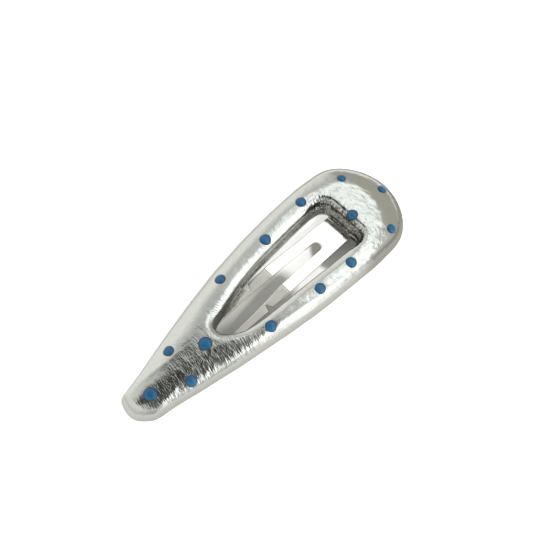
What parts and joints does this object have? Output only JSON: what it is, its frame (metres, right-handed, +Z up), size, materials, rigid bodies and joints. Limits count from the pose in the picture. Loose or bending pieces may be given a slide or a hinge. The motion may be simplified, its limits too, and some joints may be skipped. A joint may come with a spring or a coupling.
{
  "type": "padded snap hair clip",
  "caption": "Teardrop snap hair clip: a sprung metal frame in a padded metallic sleeve with small raised dots, and a bare slotted tongue in its window.",
  "frame": {"origin": "on the surface that the clip lies on, under the middle of its bounding box", "axes": "+X along the clip to its wide end, +Y across it, +Z up out of the padded face"},
  "size_m": [0.06, 0.0196, 0.0065],
  "materials": {
    "metallic_leatherette": "crinkled silver foil on soft leatherette",
    "spring_steel": "polished nickel plate",
    "dot_enamel": "gloss raised paint"
  },
  "bodies": {
    "clip": {"padded_cover": "metallic_leatherette", "frame_spring": "spring_steel", "dot_01": "dot_enamel", "dot_02": "dot_enamel", "dot_03": "dot_enamel", "dot_04": "dot_enamel", "dot_05": "dot_enamel", "dot_06": "dot_enamel", "dot_07": "dot_enamel", "dot_08": "dot_enamel", "dot_09": "dot_enamel", "dot_10": "dot_enamel", "dot_11": "dot_enamel", "dot_12": "dot_enamel", "dot_13": "dot_enamel", "dot_14": "dot_enamel"},
    "tongue": {"tongue": "spring_steel"}
  },
  "joints": [
    {"name": "snap_open", "type": "hinge", "parent": "clip", "child": "tongue", "pos_m": [0.0186, 0, 0.0017], "axis": [0, -1, 0], "range_deg": [0, 26]}
  ]
}
